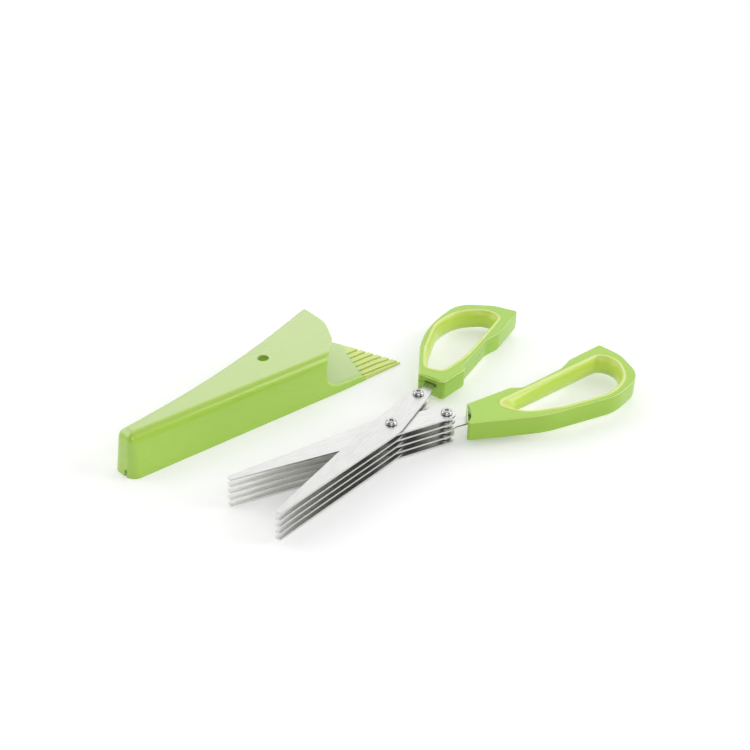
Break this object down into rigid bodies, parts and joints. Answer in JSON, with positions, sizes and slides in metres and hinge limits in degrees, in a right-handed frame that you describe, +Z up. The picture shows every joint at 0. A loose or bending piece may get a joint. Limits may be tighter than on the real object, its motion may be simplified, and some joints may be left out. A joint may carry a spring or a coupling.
{
  "type": "herb scissors",
  "caption": "Herb scissors with stacked parallel blades on one pivot, two looped handles with soft grips, and a wedge-shaped blade cover whose mouth ends in a comb.",
  "frame": {"origin": "on the blade pivot's axis, at the flat underside of the pivot sleeve's foot, which rests on the table", "axes": "+Z up along the pivot, +X from the blade tips to the handles, +Y towards the blade cover"},
  "size_m": [0.2188, 0.1423, 0.0206],
  "materials": {
    "stainless_steel": "fine brushed sheet steel",
    "bright_fasteners": "polished bright steel",
    "green_plastic": "smooth moulded plastic, half gloss",
    "lime_grip": "soft lime lining, satin"
  },
  "bodies": {
    "half_a": {"blade_a_1": "stainless_steel", "blade_a_2": "stainless_steel", "blade_a_3": "stainless_steel", "blade_a_4": "stainless_steel", "blade_a_5": "stainless_steel", "pivot_sleeve": "bright_fasteners", "pivot_screw": "bright_fasteners", "pivot_washer_1": "bright_fasteners", "pivot_washer_2": "bright_fasteners", "pivot_washer_3": "bright_fasteners", "pivot_washer_4": "bright_fasteners", "rear_sleeve_a": "bright_fasteners", "rear_screw_a": "bright_fasteners", "rear_spacer_a_1": "bright_fasteners", "rear_spacer_a_2": "bright_fasteners", "rear_spacer_a_3": "bright_fasteners", "rear_spacer_a_4": "bright_fasteners", "handle_a": "green_plastic", "grip_a": "lime_grip"},
    "half_b": {"blade_b_1": "stainless_steel", "blade_b_2": "stainless_steel", "blade_b_3": "stainless_steel", "blade_b_4": "stainless_steel", "blade_b_5": "stainless_steel", "rear_sleeve_b": "bright_fasteners", "rear_screw_b": "bright_fasteners", "rear_spacer_b_1": "bright_fasteners", "rear_spacer_b_2": "bright_fasteners", "rear_spacer_b_3": "bright_fasteners", "rear_spacer_b_4": "bright_fasteners", "handle_b": "green_plastic", "grip_b": "lime_grip"},
    "cover": {"cover": "green_plastic"}
  },
  "joints": [
    {"name": "blade_pivot", "type": "hinge", "parent": "half_a", "child": "half_b", "pos_m": [0, 0, 0], "axis": [0, 0, -1], "range_deg": [-21.5, 20]},
    {"name": "cover_lift", "type": "slide", "parent": "half_a", "child": "cover", "axis": [0, 0, 1], "range_m": [0, 0.08]}
  ]
}
